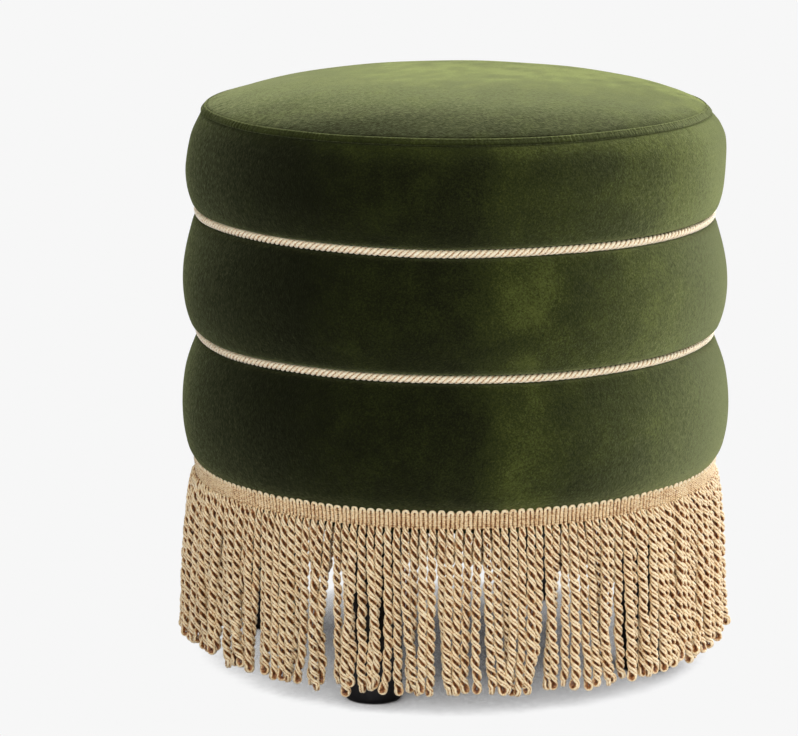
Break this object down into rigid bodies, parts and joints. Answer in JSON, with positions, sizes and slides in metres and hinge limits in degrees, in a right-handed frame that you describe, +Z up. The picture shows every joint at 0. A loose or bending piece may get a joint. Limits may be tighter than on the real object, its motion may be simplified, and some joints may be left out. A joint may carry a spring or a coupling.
{
  "type": "tuffet",
  "caption": "Round upholstered velvet footstool in three swelled bands with cord in the creases, a welted crowned seat, deep bullion fringe and short turned legs.",
  "frame": {"origin": "on the floor, in the middle of the four feet and under the middle of the drum", "axes": "+Z up along the drum's axis, -Y towards the side the picture sees, +X to its right"},
  "size_m": [0.408, 0.408, 0.4407],
  "materials": {
    "velvet": "olive green short-pile velvet",
    "cord": "cream three-ply twisted viscose cord",
    "fringe": "light brown twisted bullion fringe with a woven header",
    "plywood": "bare birch plywood",
    "pine": "bare planed pine",
    "hardboard": "bare bent hardboard",
    "foam": "cream open-cell upholstery foam",
    "wadding": "white polyester wadding",
    "dust_cloth": "black non-woven dust cloth",
    "black_lacquer": "beech turned and lacquered satin black",
    "zinc_steel": "bright zinc plated steel",
    "glide_plastic": "black moulded polyethylene"
  },
  "bodies": {
    "root": {"leg_front": "black_lacquer", "leg_right": "black_lacquer", "leg_back": "black_lacquer", "leg_left": "black_lacquer", "glide_front": "glide_plastic", "glide_right": "glide_plastic", "glide_back": "glide_plastic", "glide_left": "glide_plastic", "hanger_bolt_front": "zinc_steel", "hanger_bolt_right": "zinc_steel", "hanger_bolt_back": "zinc_steel", "hanger_bolt_left": "zinc_steel", "tee_nut_front": "zinc_steel", "tee_nut_right": "zinc_steel", "tee_nut_back": "zinc_steel", "tee_nut_left": "zinc_steel", "base_board": "plywood", "post_1": "pine", "post_2": "pine", "post_3": "pine", "post_4": "pine", "post_5": "pine", "post_6": "pine", "base_screw_1": "zinc_steel", "base_screw_2": "zinc_steel", "base_screw_3": "zinc_steel", "base_screw_4": "zinc_steel", "base_screw_5": "zinc_steel", "base_screw_6": "zinc_steel", "top_screw_1": "zinc_steel", "top_screw_2": "zinc_steel", "top_screw_3": "zinc_steel", "top_screw_4": "zinc_steel", "top_screw_5": "zinc_steel", "top_screw_6": "zinc_steel", "lower_crease_ring": "plywood", "upper_crease_ring": "plywood", "top_board": "plywood", "lower_wall": "hardboard", "middle_wall": "hardboard", "upper_wall": "hardboard", "lower_foam_band": "foam", "middle_foam_band": "foam", "upper_foam_band": "foam", "seat_foam": "foam", "seat_wadding": "wadding", "seat_panel": "velvet", "seat_welt": "velvet", "lower_band_cover": "velvet", "middle_band_cover": "velvet", "upper_band_cover": "velvet", "lower_cord": "cord", "upper_cord": "cord", "fringe_header": "fringe", "fringe_strands_front_right": "fringe", "fringe_strands_back_right": "fringe", "fringe_strands_back_left": "fringe", "fringe_strands_front_left": "fringe", "dust_cover": "dust_cloth"}
  },
  "joints": []
}
